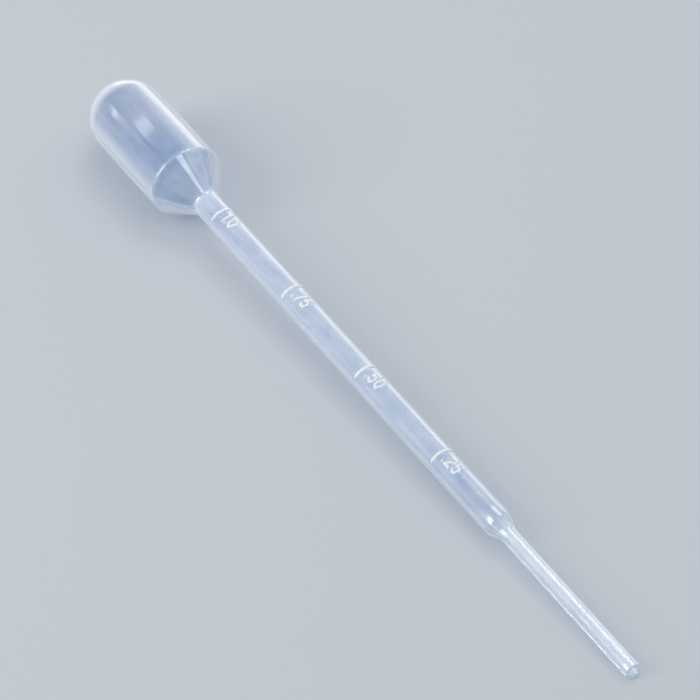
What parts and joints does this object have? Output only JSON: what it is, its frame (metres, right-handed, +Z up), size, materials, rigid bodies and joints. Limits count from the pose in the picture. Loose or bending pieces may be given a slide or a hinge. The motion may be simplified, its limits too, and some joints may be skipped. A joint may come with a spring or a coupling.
{
  "type": "dropper pipette",
  "caption": "Soft plastic transfer pipette in one piece: a domed squeeze bulb, conical shoulder, long graduated stem and fine open tip.",
  "frame": {"origin": "centre of the footprint of the part at rest, on the surface it lies on", "axes": "+X runs along the length from the bulb to the tip, level with the surface; +Z up, through the graduated side; +Y across. The barrel's own axis lies in the XZ plane and drops towards the tip by 2.33 degrees"},
  "size_m": [0.155, 0.0134, 0.014],
  "materials": {
    "pipette_plastic": "satin, milky translucent, natural low-density polyethylene"
  },
  "bodies": {
    "root": {"pipette": "pipette_plastic"}
  },
  "joints": []
}
